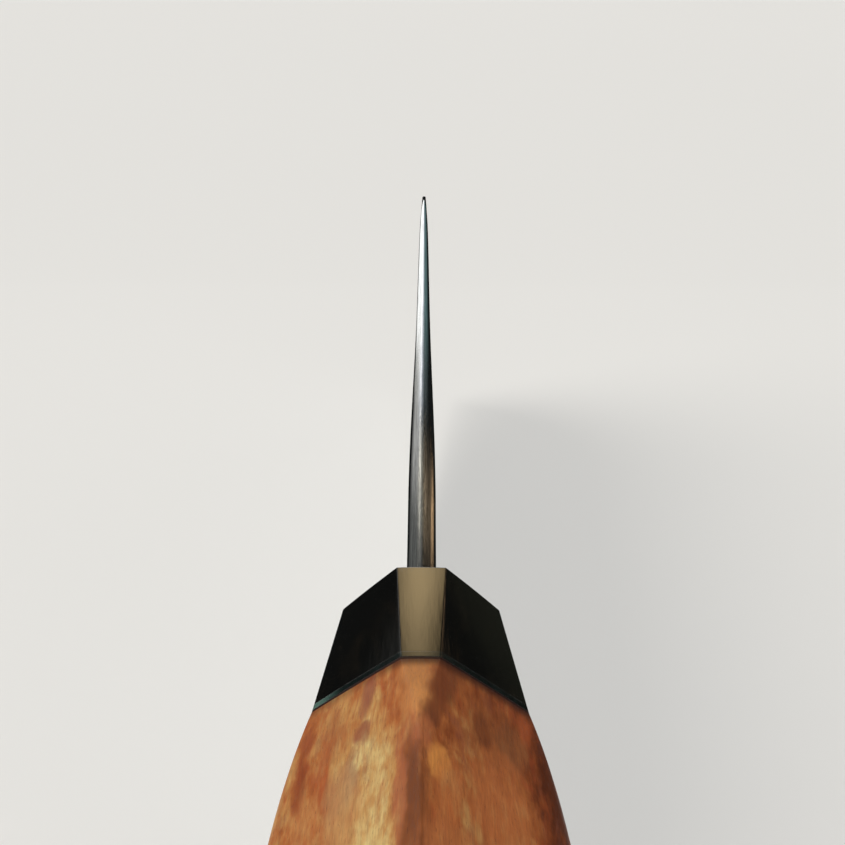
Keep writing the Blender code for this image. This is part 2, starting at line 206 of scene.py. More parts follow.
def addAttribute(piece, name, values):
    attribute = piece.data.attributes.new(name, "FLOAT", "POINT")
    attribute.data.foreach_set("value", np.asarray(values, np.float32).ravel())


# Handle: an octagon that widens in straight lines over the head, then swells and rounds off.
handleShape = {
    "frontWidth": 16.0, "frontHeight": 20.0, "frontSide": 10.6, "frontTop": 5.0,
    "jointWidth": 20.9, "jointHeight": 22.0, "jointSide": 10.6, "jointTop": 3.8,
    "swellWidth": 29.5, "swellHeight": 29.0, "swellSide": 11.5, "swellFromJoint": 56.0,
    "buttWidth": 26.5, "buttHeight": 26.8,
    "ridgeTop": 0.6, "ridgeFromJoint": 17.0,  # the top facet runs out into a ridge
    "crispCorner": 0.14, "softCorner": 7.0, "roundingLength": 34.0,
    "cornerHardness": 14.0, "facetCrown": 0.045,
    "frontRound": 0.12, "buttRound": 2.4, "jointChamfer": 0.02, "besideRim": 0.1,
    "frontWall": 6.0, "boreRadius": 6.6, "boreEnd": 103.3,
    "slotWidth": 3.65, "slotHeight": 15.1, "slotTop": 3.63, "slotCorner": 0.15,
    "pointsPerFacet": 18, "woodSections": 84, "ferruleSections": 16, "plateSections": 3,
    "ferruleRimSteps": 6, "plateRimSteps": 3, "buttRimSteps": 8, "sharpAngle": 35.0,
}


def octagonRing(width, height, side, top, corner):
    # points (y, z) of eight planes that meet in eased corners, and how near each is to a corner
    halfWidth, halfHeight, halfSide, halfTop = width / 2, height / 2, side / 2, top / 2
    slant = math.atan2(halfHeight - halfSide, halfWidth - halfTop)
    slantDistance = halfTop * math.sin(slant) + halfHeight * math.cos(slant)
    normals = np.array([0, math.pi, math.pi / 2, -math.pi / 2,
                        slant, -slant, math.pi - slant, math.pi + slant])
    distances = np.array([halfHeight] * 2 + [halfWidth] * 2 + [slantDistance] * 4)
    topCorner, sideCorner = math.atan2(halfTop, halfHeight), math.atan2(halfWidth, halfSide)
    quarter = [topCorner, sideCorner, math.pi - sideCorner, math.pi - topCorner]
    corners = quarter + [angle + math.pi for angle in quarter]
    count = handleShape["pointsPerFacet"]
    shares = 0.5 - 0.5 * np.cos(math.pi * np.arange(count) / count)  # closer together by the corners
    angles = []
    for start, end in zip(corners, corners[1:] + [corners[0] + 2 * math.pi]):
        angles.append(start + (end - start) * shares)
    angles = np.concatenate(angles)
    hardness = handleShape["cornerHardness"] * halfWidth / corner
    pulls = np.cos(angles[:, None] - normals[None, :]) * halfWidth / distances
    pulls = np.maximum(pulls, 0.0) ** hardness
    reach = halfWidth * pulls.sum(axis=1) ** (-1 / hardness)
    ordered = np.sort(pulls, axis=1)
    nearCorner = ordered[:, -2] / ordered[:, -1]
    across = np.tile(2 * shares - 1, 8)
    reach = reach + handleShape["facetCrown"] * (1 - across**2)
    return np.stack([reach * np.sin(angles), reach * np.cos(angles)], axis=1), nearCorner


def handleRing(u):
    h = handleShape
    if u <= headLength:
        t = max(u, 0.0) / headLength
        return octagonRing(
            mix(h["frontWidth"], h["jointWidth"], t),
            mix(h["frontHeight"], h["jointHeight"], t),
            mix(h["frontSide"], h["jointSide"], t),
            mix(h["frontTop"], h["jointTop"], t),
            h["crispCorner"],
        )
    s = u - headLength
    if s <= h["swellFromJoint"]:
        t = 1 - (1 - s / h["swellFromJoint"]) ** 2
        width = mix(h["jointWidth"], h["swellWidth"], t)
        height = mix(h["jointHeight"], h["swellHeight"], t)
        side = mix(h["jointSide"], h["swellSide"], t)
    else:
        t = ((s - h["swellFromJoint"]) / (woodHigh.x - h["swellFromJoint"])) ** 2
        width = mix(h["swellWidth"], h["buttWidth"], t)
        height = mix(h["swellHeight"], h["buttHeight"], t)
        side = h["swellSide"]
    top = mix(h["jointTop"], h["ridgeTop"], min(1.0, s / h["ridgeFromJoint"]))
    corner = mix(h["crispCorner"], h["softCorner"], smoothStep(s / h["roundingLength"]))
    return octagonRing(width, height, side, top, corner)


def atDepth(u, ring):
    return np.column_stack([np.full(len(ring), frontX - u), ring])


def drawnIn(ring, inset):
    return ring * (1 - inset / np.abs(ring[:, 0]).max())


def rimRings(faceU, inward, radius, steps):
    # a rounded rim, from the flat face to the full section; inward is 1 or -1
    rings = []
    for step in range(steps):
        turn = math.pi / 2 * step / steps
        u = faceU + inward * radius * (1 - math.cos(turn))
        rings.append(atDepth(u, drawnIn(handleRing(u)[0], radius * (1 - math.sin(turn)))))
    return rings


def outerRings(startU, endU, sections, startRound, endRound, steps):
    # rings from startU back to endU, and for each point how near it is to an edge
    first, last, close = startU + startRound, endU - endRound, handleShape["besideRim"]
    rings, edges = [], []
    for u in (first, *np.linspace(first + close, last - close, sections), last):  # rims stay crisp
        ring, nearCorner = handleRing(u)
        rings.append(atDepth(u, ring))
        edges.append(nearCorner)
    startRim = rimRings(startU, 1, startRound, steps)
    endRim = rimRings(endU, -1, endRound, steps)
    onRim = [np.ones(len(rings[0]))] * steps
    return startRim + rings + endRim[::-1], onRim + edges + onRim


def boreRing(u):
    ring = handleRing(max(u, 0.0))[0]
    return atDepth(u, ring / np.linalg.norm(ring, axis=1)[:, None] * handleShape["boreRadius"])


def plainInside(rings, edges):
    # the rings of the bore and the slot come last and have no worn edge
    return edges + [np.zeros(len(rings[0]))] * (len(rings) - len(edges))


def makeFerrule(material):
    h = handleShape
    endU = frontX - ferruleLow.x
    rings, edges = outerRings(
        0.0, endU, h["ferruleSections"], h["frontRound"], h["jointChamfer"], h["ferruleRimSteps"])
    slot = octagonRing(
        h["slotWidth"], h["slotHeight"], h["slotHeight"] / 2, h["slotTop"], h["slotCorner"])[0]
    rings += [boreRing(endU), boreRing(h["frontWall"]), atDepth(h["frontWall"], slot), atDepth(0.0, slot)]
    ferrule = loft("ferruleHorn", rings, [material], h["sharpAngle"], closed=True)
    addAttribute(ferrule, "nearEdge", plainInside(rings, edges))
    return ferrule


def makePlate(name, low, high, material):
    h = handleShape
    startU, endU = frontX - high.x, frontX - low.x
    rings, edges = outerRings(
        startU, endU, h["plateSections"], h["jointChamfer"], h["jointChamfer"], h["plateRimSteps"])
    rings += [boreRing(endU), boreRing(startU)]
    plate = loft(name, rings, [material], h["sharpAngle"], closed=True)
    addAttribute(plate, "nearEdge", plainInside(rings, edges))
    return plate


def makeWood(material):
    h = handleShape
    bore = [boreRing(h["boreEnd"]), boreRing(headLength)]
    rings, edges = outerRings(
        headLength, frontX, h["woodSections"], h["jointChamfer"], h["buttRound"], h["buttRimSteps"])
    wood = loft("handleWood", bore + rings, [material], h["sharpAngle"], capFirst=True, capLast=True)
    addAttribute(wood, "nearEdge", [np.zeros(len(rings[0]))] * len(bore) + edges)
    return wood


# Blade: ribs run down both flanks from the crowned spine to the lower outline.
bladeShape = {
    "neckLength": 12.0, "neckHeight": 14.5, "choilRadius": 6.0,
    "spineDrop": 0.9, "spineDropStart": 38.0,
    "noseLength": 45.0, "noseFullness": 0.55, "noseAngle": 72.0,
    "tipRise": 7.0, "bellyLength": 88.0, "bellyPower": 2.3,
    "heelThickness": 3.05, "behindEdge": 0.36, "tangEndThickness": 2.2,
    "taper": ((14.0, 3.05), (74.0, 1.75), (115.0, 1.1), (136.0, 0.45)),  # past the heel, thickness
    "edgeBevel": 0.8, "flankFlatness": 0.75, "flankFlatFrom": 0.35,
    "grindBlendLength": 8.0, "grindBlendHeight": 9.0,
    "crownAngle": 42.0, "easedEdge": 0.4, "roundShare": 0.2,
    "tangHeight": 10.5, "tangEndHeight": 6.0, "shoulderStart": 1.5, "shoulderEnd": 5.7,
    "fanLength": 23.0, "noseArc": 1.3, "edgeSpread": 1.15, "lastRibStep": 0.4,
    "tangRibs": 26, "shoulderRibs": 14, "neckRibs": 8, "choilRibs": 26, "bladeRibs": 150,
    "crownSteps": 12, "flankRows": 22, "toeSteps": 3, "sharpAngle": 30.0,
    "mapSide": 0.3,  # metres that the map of the flanks spans
}
tangLength = frontX - bladeLow.x
heelU = bladeShape["neckLength"]
tipU = bladeHigh.x - frontX
neckTop = bladeHigh.z
edgeZ = bladeLow.z


def spineLine(u):
    b = bladeShape
    start = heelU + b["spineDropStart"]
    t = max(0.0, (u - start) / (tipU - b["noseLength"] - start))
    return neckTop - b["spineDrop"] * t**2


def edgeLine(u):
    b = bladeShape
    t = max(0.0, (u - (tipU - b["bellyLength"])) / b["bellyLength"])
    return edgeZ + b["tipRise"] * t ** b["bellyPower"]


def tangHalfHeight(u):
    b = bladeShape
    if u > -b["shoulderEnd"]:
        t = smoothStep((-b["shoulderStart"] - u) / (b["shoulderEnd"] - b["shoulderStart"]))
        return mix(b["neckHeight"], b["tangHeight"], t) / 2
    t = (-b["shoulderEnd"] - u) / (tangLength - b["shoulderEnd"])
    return mix(b["tangHeight"], b["tangEndHeight"], t) / 2


def spineThickness(u):
    b = bladeShape
    if u < 0:
        return mix(b["heelThickness"], b["tangEndThickness"], -u / tangLength)
    stations = [(0.0, b["heelThickness"])] + [(heelU + past, thick) for past, thick in b["taper"]]
    return smoothThrough(stations, u)


def halfThickness(u, z):
    # flat upper flanks that turn convex towards the edge, and full thickness round the neck
    b = bladeShape
    slab, thin = spineThickness(u) / 2, b["behindEdge"] / 2
    low = edgeLine(u) + b["edgeBevel"]
    v = min(max((z - low) / (spineLine(u) - low), 0.0), 1.0)
    flatFrom, flatness = b["flankFlatFrom"], b["flankFlatness"]
    if v >= flatFrom:
        share = 1 - flatness * (1 - v)
    else:
        atFlat = 1 - flatness * (1 - flatFrom)
        bend = flatness / flatFrom - atFlat / flatFrom**2
        share = (atFlat / flatFrom - bend * flatFrom) * v + bend * v**2
    ground = thin + (slab - thin) * share
    along = smoothStep((u - heelU + b["choilRadius"]) / (b["choilRadius"] + b["grindBlendLength"]))
    below = smoothStep((-b["neckHeight"] / 2 - z) / b["grindBlendHeight"])
    return mix(slab, ground, 1 - (1 - along) * (1 - below))


def nosePoint(t):
    # a point of the curve from spine to tip, and the direction into the steel
    b = bladeShape
    start = np.array((tipU - b["noseLength"], spineLine(tipU - b["noseLength"])))
    tip = np.array((tipU, edgeLine(tipU)))
    length, drop = tip[0] - start[0], start[1] - tip[1]
    angle = math.radians(b["noseAngle"])
    ahead = start + np.array((length * b["noseFullness"], 0.0))
    above = tip + drop * b["noseFullness"] * np.array((-math.cos(angle), math.sin(angle)))
    point = (1 - t) ** 3 * start + 3 * (1 - t) ** 2 * t * ahead
    point = point + 3 * (1 - t) * t**2 * above + t**3 * tip
    run = (1 - t) ** 2 * (ahead - start) + 2 * (1 - t) * t * (above - ahead) + t**2 * (tip - above)
    run = run / np.linalg.norm(run)
    return point, np.array((run[1], -run[0]))


def topPoint(startU, t):
    straight = tipU - bladeShape["noseLength"] - startU
    share = straight / (straight + bladeShape["noseArc"] * bladeShape["noseLength"])
    if t <= share:
        u = startU + straight * t / share
        return np.array((u, spineLine(u))), np.array((0.0, -1.0))
    return nosePoint((t - share) / (1 - share))


def rib(top, topNormal, bottom, bottomNormal, isEdge):
    # a closed ring: down the right flank and up the left
    b = bladeShape
    most = b["roundShare"] * np.linalg.norm(top - bottom)
    edgeTurn = math.radians(b["crownAngle"])
    crown = min(math.tan(edgeTurn / 2) * spineThickness(top[0]) / 2, most)
    foot = min(b["edgeBevel"] if isEdge else b["easedEdge"], most)
    shoulder, toe = top + topNormal * crown, bottom + bottomNormal * foot
    wide, thick = halfThickness(*shoulder), halfThickness(*toe)
    right = []
    for step in range(b["crownSteps"]):
        turn = edgeTurn * step / b["crownSteps"]
        at = top + topNormal * crown * (1 - math.cos(turn)) / (1 - math.cos(edgeTurn))
        right.append((at[0], -wide * math.sin(turn) / math.sin(edgeTurn), at[1]))
    for row in range(b["flankRows"] + 1):
        at = mix(shoulder, toe, row / b["flankRows"])
        right.append((at[0], -halfThickness(*at), at[1]))
    for step in range(1, b["toeSteps"]):
        share = step / b["toeSteps"]
        turn = math.pi / 2 * share
        rise, spread = (1 - share, 1 - share) if isEdge else (1 - math.sin(turn), math.cos(turn))
        at = bottom + bottomNormal * foot * rise
        right.append((at[0], -thick * spread, at[1]))
    right.append((bottom[0], 0.0, bottom[1]))
    left = [(x, -y, z) for x, y, z in right[-2:0:-1]]
    return [(frontX + x, y, z) for x, y, z in right + left]


def bladeRibs():
    b = bladeShape
    up, down, ahead = np.array((0.0, 1.0)), np.array((0.0, -1.0)), np.array((1.0, 0.0))
    ribs = []
    stations = list(np.linspace(-tangLength, -b["shoulderEnd"], b["tangRibs"]))
    stations += list(np.linspace(-b["shoulderEnd"], 0.0, b["shoulderRibs"]))[1:]
    stations += list(np.linspace(0.0, heelU - b["choilRadius"], b["neckRibs"]))[1:]
    for u in stations:
        half = tangHalfHeight(u)
        ribs.append(rib(np.array((u, half)), down, np.array((u, -half)), up, False))
    centre = np.array((heelU - b["choilRadius"], -b["neckHeight"] / 2 - b["choilRadius"]))
    lower = []
    for step in range(1, b["choilRibs"] + 1):
        turn = math.pi / 2 * (1 - step / b["choilRibs"])
        normal = np.array((math.cos(turn), math.sin(turn)))
        lower.append((centre + b["choilRadius"] * normal, normal))
    for z in np.linspace(centre[1], edgeZ + b["edgeBevel"], b["choilRibs"])[1:]:
        lower.append((np.array((heelU, z)), ahead))
    fanStart, fanEnd = heelU - b["choilRadius"], heelU + b["fanLength"]
    for i, (bottom, normal) in enumerate(lower):
        u = mix(fanStart, fanEnd, (i + 1) / (len(lower) + 1))
        ribs.append(rib(np.array((u, spineLine(u))), down, bottom, normal, False))
    heel = np.array((heelU, edgeZ))
    heelNormal = np.array((b["easedEdge"], b["edgeBevel"])) / b["edgeBevel"]
    ribs.append(rib(np.array((fanEnd, spineLine(fanEnd))), down, heel, heelNormal, True))
    for step in list(range(1, b["bladeRibs"])) + [b["bladeRibs"] - b["lastRibStep"]]:
        t = step / b["bladeRibs"]
        top, normal = topPoint(fanEnd, t)
        u = mix(heelU, tipU, 1 - (1 - t) ** b["edgeSpread"])
        ribs.append(rib(top, normal, np.array((u, edgeLine(u))), up, True))
    ribs.append([(frontX + tipU, 0.0, edgeLine(tipU))] * len(ribs[0]))
    return ribs


def makeBlade(satin, polished, edge):
    b = bladeShape
    blade = loft("bladeSteel", bladeRibs(), [satin, polished, edge], b["sharpAngle"], capFirst=True)
    mesh = blade.data
    firstFoot = b["crownSteps"] + b["flankRows"]
    ring = 2 * (firstFoot + b["toeSteps"])
    flankMap = mesh.uv_layers.new(name="alongBlade")
    for face in mesh.polygons:
        row = face.index % ring
        row = min(row, ring - 1 - row)
        if row < b["crownSteps"]:
            face.material_index = 1
        elif row >= firstFoot:
            face.material_index = 2
        for corner in face.loop_indices:
            place = mesh.vertices[mesh.loops[corner].vertex_index].co
            flankMap.data[corner].uv = (place.x / b["mapSide"], place.z / b["mapSide"])
    return blade


# Steel. The sizes are those of the grain along X, Y and Z in mm.
steelLook = {
    "base": paint(203, 205, 207), "stain": paint(192, 195, 198), "line": paint(150, 152, 155),
    "satinRough": 0.24, "brushed": 0.55, "satinLines": (0.05, 1.0, 14.0), "satinBands": (0.5, 2.0, 30.0),
    "satinClouds": (22.0, 9.0, 16.0), "satinDepth": 0.004,
    "crownLines": (7.0, 0.09, 0.3), "crownClouds": (6.0, 0.45, 3.0), "crownDepth": 0.006,
    "crownRough": (0.03, 0.06),
    "honed": paint(222, 223, 225), "honedShade": paint(196, 198, 201), "honedRough": (0.14, 0.26),
    "stoneLines": (0.05, 0.3, 1.2), "stoneDepth": 0.002,
}


def satinSteel():
    # the flanks, ground in fine lines from spine to edge
    look = steelLook
    material, tree, shader = newMaterial("satinSteel", Metallic=1.0, Anisotropic=look["brushed"])
    place = placeInMm(tree)
    line = grain(tree, place, look["satinLines"], detail=2)
    broad = grain(tree, place, look["satinBands"], detail=3)
    cloud = grain(tree, place, look["satinClouds"], detail=3)
    rough = calc(tree, "ADD", spread(tree, line, 0.0, 0.07), spread(tree, cloud, 0.0, 0.03))
    rough = calc(tree, "ADD", rough, look["satinRough"])
    color = blendColor(tree, remap(tree, cloud, 0.35, 0.75, 0.0, 0.6), look["base"], look["stain"])
    color = blendColor(tree, remap(tree, broad, 0.35, 0.65, 0.0, 0.12), color, look["line"])
    height = calc(tree, "ADD", line, calc(tree, "MULTIPLY", broad, 0.6))
    normal = bump(tree, height, look["satinDepth"], 0.5)
    tangent = addNode(tree, "Tangent", direction_type="UV_MAP", uv_map="alongBlade").outputs[0]
    wire(tree, shader, Base_Color=color, Roughness=rough, Normal=normal, Tangent=tangent)
    return material


def polishedSteel():
    # the crown of the spine, polished lengthwise
    look = steelLook
    material, tree, shader = newMaterial("polishedSteel", Metallic=1.0)
    place = placeInMm(tree)
    line = grain(tree, place, look["crownLines"], detail=3)
    cloud = grain(tree, place, look["crownClouds"], detail=4)
    rough = spread(tree, line, *look["crownRough"])
    color = blendColor(tree, remap(tree, cloud, 0.4, 0.7), look["base"], look["stain"])
    color = blendColor(tree, remap(tree, line, 0.42, 0.68, 0.0, 0.75), color, look["line"])
    normal = bump(tree, line, look["crownDepth"], 0.5)
    wire(tree, shader, Base_Color=color, Roughness=rough, Normal=normal)
    return material


def edgeSteel():
    # the honed bevel
    look = steelLook
    material, tree, shader = newMaterial("edgeSteel", Metallic=1.0)
    stone = grain(tree, placeInMm(tree), look["stoneLines"], detail=2)
    rough = spread(tree, stone, *look["honedRough"])
    color = blendColor(tree, remap(tree, stone, 0.4, 0.7), look["honed"], look["honedShade"])
    normal = bump(tree, stone, look["stoneDepth"], 0.5)
    wire(tree, shader, Base_Color=color, Roughness=rough, Normal=normal)
    return material


# Black horn of the ferrule
hornLook = {
    "black": paint(8, 8, 7), "cloud": paint(24, 20, 14), "worn": paint(32, 30, 24), "wornShare": 0.4,
    "rough": (0.07, 0.12), "wornRough": 0.08,
    "cloudSize": (14.0, 3.0, 4.0), "fibreSize": (6.0, 0.15, 0.15), "scratchSize": (2.5, 0.04, 0.6),
    "depth": 0.002, "waveSize": (9.0, 0.8, 0.8), "waveShare": 22.0,  # mm deep, and the wave against that
}


def blackHorn():
    look = hornLook
    material, tree, shader = newMaterial("blackHorn")
    place = placeInMm(tree)
    cloud = grain(tree, place, look["cloudSize"], detail=4, warp=0.4)
    fibre = grain(tree, place, look["fibreSize"], detail=2)
    scratch = grain(tree, place, look["scratchSize"], detail=1)
    edge = edgeShare(tree)
    wear = calc(tree, "MULTIPLY", remap(tree, edge, 0.25, 1.0), remap(tree, fibre, 0.3, 0.6, 0.25, 0.6))
    color = blendColor(tree, remap(tree, cloud, 0.45, 0.8), look["black"], look["cloud"])
    color = blendColor(tree, calc(tree, "MULTIPLY", wear, look["wornShare"]), color, look["worn"])
    rough = remap(tree, scratch, 0.35, 0.7, *look["rough"])
    rough = calc(tree, "ADD", rough, calc(tree, "MULTIPLY", wear, look["wornRough"]))
    # the polish follows the layers of the horn, so its surface is a little wavy
    wave = calc(tree, "MULTIPLY", grain(tree, place, look["waveSize"], detail=2), look["waveShare"])
    height = calc(tree, "ADD", calc(tree, "ADD", fibre, scratch), wave)
    normal = bump(tree, height, look["depth"], 0.4)
    wire(tree, shader, Base_Color=color, Roughness=rough, Normal=normal)
    return material


# Teal spacer and the dark fibre behind it
plateLook = {
    "teal": paint(17, 25, 24), "deep": paint(8, 12, 11), "shimmer": paint(48, 72, 68),
    # painted highlight: the pale colour on the next line is laid on the plate's left end as a glint, over the
    # span given in mm to the left
    "pearlAndGlint": paint(92, 124, 115), "glintFrom": 7.4, "glintTo": 10.4, "glintShare": 0.9,  # mm to the left
    "pearlSize": (3.0, 1.4, 1.4), "fleckSize": (0.25, 0.25, 0.25), "tealDepth": 0.004,
    "tealRough": (0.12, 0.2), "tealGloss": 0.28,
    "fibre": paint(26, 9, 6), "fibreLight": paint(40, 18, 12), "weaveSize": (0.12, 0.5, 0.5),
    "fibreDepth": 0.01, "fibreRough": (0.45, 0.62), "fibreGloss": 0.1,
}


def tealPlate():
    look = plateLook
    material, tree, shader = newMaterial("tealPlate", Specular_IOR_Level=look["tealGloss"])
    place = placeInMm(tree)
    # this noise mottles the teal and also breaks up the painted glint
    pearlAndGlint = grain(tree, place, look["pearlSize"], detail=4, warp=1.2)
    fleck = grain(tree, place, look["fleckSize"], detail=2)
    color = blendColor(tree, remap(tree, pearlAndGlint, 0.35, 0.65), look["deep"], look["teal"])
    color = blendColor(tree, remap(tree, fleck, 0.55, 0.75, 0.0, 0.3), color, look["shimmer"])
    # painted highlight: the left end of the plate is paler, a glint painted where its edge catches the light
    # from the left
    left = addNode(tree, "SeparateXYZ", {"Vector": place}).outputs["Y"]
    leftGlint = remap(tree, left, look["glintFrom"], look["glintTo"], 0.0, look["glintShare"])
    leftGlint = calc(tree, "MULTIPLY", leftGlint, remap(tree, pearlAndGlint, 0.3, 0.6, 0.6, 1.0))
    color = blendColor(tree, leftGlint, color, look["pearlAndGlint"])
    rough = spread(tree, fleck, *look["tealRough"])
    normal = bump(tree, fleck, look["tealDepth"], 0.3)
    wire(tree, shader, Base_Color=color, Roughness=rough, Normal=normal)
    return material


def darkFibre():
    look = plateLook
    material, tree, shader = newMaterial("darkFibre", Specular_IOR_Level=look["fibreGloss"])
    weave = grain(tree, placeInMm(tree), look["weaveSize"], detail=3)
    color = blendColor(tree, remap(tree, weave, 0.4, 0.7), look["fibre"], look["fibreLight"])
    rough = spread(tree, weave, *look["fibreRough"])
    normal = bump(tree, weave, look["fibreDepth"], 0.5)
    wire(tree, shader, Base_Color=color, Roughness=rough, Normal=normal)
    return material


# Figured wood. Its left is pale and its right red-brown, with a dark vein along the ridge.
# Lengths are in millimetres: back is counted from the joint towards the butt, and left from the ridge.
# Painted light and shade lie in it too: a paler top facet by the joint, and darker wood close to the joint
# and at the far right.
woodLook = {
    "tones": [(0.0, paint(82, 36, 12)), (0.25, paint(126, 62, 27)), (0.5, paint(162, 94, 48)),
              (0.75, paint(184, 137, 81)), (1.0, paint(206, 181, 122))],
    "right": 0.41, "left": 0.57, "halfChange": 2.0,  # tone on either side of the ridge
    # noise in the tone: grain size, detail, warp, offset, and how far it swings the tone
    "figure": {
        "broad": ((18.0, 3.0, 3.0), 4, 0.6, (0, 0, 0), 0.14),
        "streak": ((11.0, 0.8, 0.8), 3, 0.4, (0, 0, 0), 0.07),
        "mottle": ((4.0, 1.1, 1.1), 4, 0.0, (9, 2, 6), 0.08),
    },
    # the pale band: its middle and half width change from one place back to another
    "paleBack": (2.0, 40.0), "paleLeft": (3.8, 4.9), "paleHalf": (1.5, 3.0), "paleShare": 0.36,
    "paleGrows": (4.0, 22.0, 0.15, 1.0), "paleFades": (30.0, 42.0, 1.0, 0.78),
    "lowRight": (0.2, -2.2), "lowRightBack": (16.0, 32.0), "lowRightShare": 0.17,
    # painted shade: the tone is lowered towards the far right, where the rounding turns away from the light
    "paintedRightShade": (-8.5, -13.0), "paintedRightShadeShare": -0.55,
    # stains: grain size, detail, offset, from which noise they show, share, colour
    "stains": {
        "red": ((8.0, 1.0, 1.0), 4, (7, 3, 1), 0.5, 0.5, paint(150, 68, 36)),
        "plum": ((9.0, 1.3, 1.3), 3, (2, 8, 5), 0.54, 0.4, paint(124, 70, 54)),
    },
    # how far the figure wanders, how ragged the marks are, and where they end (in half sizes, squared)
    "wanderSize": (20.0, 4.0, 4.0), "wanderLeft": 3.0, "veinWander": 1.5,
    "shiftSize": (5.0, 1.6, 1.6), "shiftBack": 5.0, "shiftLeft": 0.9,
    "frayedSize": (5.5, 1.2, 1.2), "ragged": 1.7, "markReach": 2.9,
    # the vein: its middle, half width and softness, and where it sets in
    "vein": paint(116, 64, 38), "veinAcross": (0.1, 1.2, 0.8), "veinBack": (36.0, 52.0, 0.0, 0.85),
    # painted shade at the joint: its colour, how far back it reaches in mm, its share, and its share on the
    # lit left
    "joint": paint(46, 20, 11), "jointShadeDepth": 3.0, "jointShadeShare": 0.85, "jointShadeLeftShare": 0.5,
    "endGrain": paint(112, 64, 36), "pith": (0.0, 26.0, -8.0), "ringTurn": 3.2, "ringWander": 4.0,
    "fibreSize": (7.0, 0.15, 0.15), "poreSize": (2.2, 0.09, 0.09), "poreShare": 0.45, "depth": 0.02,
    "pore": paint(72, 34, 18), "fibreShade": (0.87, 1.06), "rough": (0.46, 0.58), "gloss": 0.1,
    # soft marks in the figure, the first two of them painted light: back, left, half length, half width,
    # lean, share, colour
    "marks": {
        # painted light: the next two marks make the top facet near the joint paler where it faces the light
        "paintedJointLight": (5.5, 0.3, 8.0, 1.5, 0.0, 0.75, paint(184, 125, 72)),
        "paintedLightTip": (12.0, 0.35, 4.0, 0.6, 0.0, 0.7, paint(196, 132, 74)),
        "darkWedge": (5.5, -2.3, 8.0, 0.95, 0.11, 0.9, paint(112, 58, 32)),
        "wedgeEnd": (15.4, -1.0, 2.4, 0.6, 0.0, 0.7, paint(106, 58, 35)),
        "darkStreak": (12.4, -5.75, 3.8, 0.6, 0.0, 0.75, paint(98, 50, 27)),
        "brownCloud": (11.0, -6.6, 6.5, 1.9, 0.0, 0.6, paint(122, 67, 35)),
        "grayCloud": (13.8, -8.3, 4.0, 1.2, 0.0, 0.5, paint(124, 80, 50)),
        "redRim": (6.5, -9.7, 3.8, 0.5, 0.0, 0.55, paint(172, 86, 46)),
        "orangePatch": (25.2, -1.6, 3.1, 0.75, 0.0, 0.85, paint(208, 138, 68)),
        "orangeTail": (32.0, -2.0, 6.0, 0.6, 0.0, 0.5, paint(184, 108, 58)),
        "overVein": (19.5, 0.3, 4.5, 1.1, 0.0, 0.6, paint(162, 94, 58)),
        "veinStart": (25.0, 0.8, 4.0, 0.65, 0.0, 0.8, paint(118, 62, 29)),
        "veinBody": (36.0, 0.5, 10.5, 1.1, -0.015, 0.9, paint(120, 66, 33)),
        "veinCore": (31.0, 0.4, 6.0, 0.55, 0.0, 0.55, paint(100, 52, 25)),
        "pinkEdge": (32.0, 1.75, 9.0, 0.45, 0.0, 0.55, paint(172, 100, 66)),
        "plumOne": (3.8, 4.9, 3.2, 0.45, 0.0, 0.7, paint(134, 76, 60)),
        "plumTwo": (7.6, 5.3, 2.6, 0.4, 0.0, 0.55, paint(138, 80, 60)),
        "plumThree": (13.8, 5.4, 1.9, 0.6, 0.0, 0.8, paint(132, 68, 50)),
        "plumFour": (22.3, 6.1, 4.2, 0.6, 0.0, 0.6, paint(136, 88, 68)),
        "redOne": (10.6, 8.0, 5.0, 0.8, 0.0, 0.55, paint(148, 82, 46)),
        "redTwo": (20.0, 8.8, 7.0, 0.5, 0.0, 0.65, paint(156, 74, 38)),
        "redThree": (18.0, 10.9, 5.5, 0.5, 0.0, 0.7, paint(124, 54, 28)),
        "redFour": (8.0, 10.4, 2.8, 0.45, 0.0, 0.55, paint(140, 70, 43)),
        "beigePatch": (25.0, 7.1, 5.0, 1.1, 0.0, 0.55, paint(168, 127, 87)),
        "lowBeige": (33.0, 6.9, 6.5, 1.3, 0.0, 0.5, paint(182, 135, 87)),
        "lowRed": (30.0, 10.3, 6.5, 1.1, 0.0, 0.35, paint(176, 108, 64)),
        "orangeLine": (31.0, -3.0, 6.5, 0.45, 0.03, 0.55, paint(184, 104, 55)),
        "orangeLow": (30.0, -7.0, 10.0, 2.2, 0.0, 0.6, paint(184, 108, 60)),
        "lowGlow": (43.5, -2.4, 5.0, 1.8, 0.0, 0.55, paint(184, 112, 64)),
    },
}


def band(tree, value, centre, half, soft):
    away = calc(tree, "ABSOLUTE", calc(tree, "SUBTRACT", value, centre))
    return remap(tree, away, half + soft, max(half - soft, 0.0))


def woodMark(tree, back, left, ragged, mark):
    # 1 in the middle of the mark, fading to 0 at its ragged rim
    atBack, atLeft, halfLength, halfWidth, lean, share = mark[:6]
    along = calc(tree, "SUBTRACT", back, atBack)
    across = calc(tree, "SUBTRACT", calc(tree, "SUBTRACT", left, atLeft), calc(tree, "MULTIPLY", along, lean))
    along = calc(tree, "ADD", calc(tree, "DIVIDE", along, halfLength), ragged)
    across = calc(tree, "ADD", calc(tree, "DIVIDE", across, halfWidth), ragged)
    away = calc(tree, "ADD", calc(tree, "POWER", along, 2.0), calc(tree, "POWER", across, 2.0))
    return remap(tree, away, woodLook["markReach"], 0.0, 0.0, share)


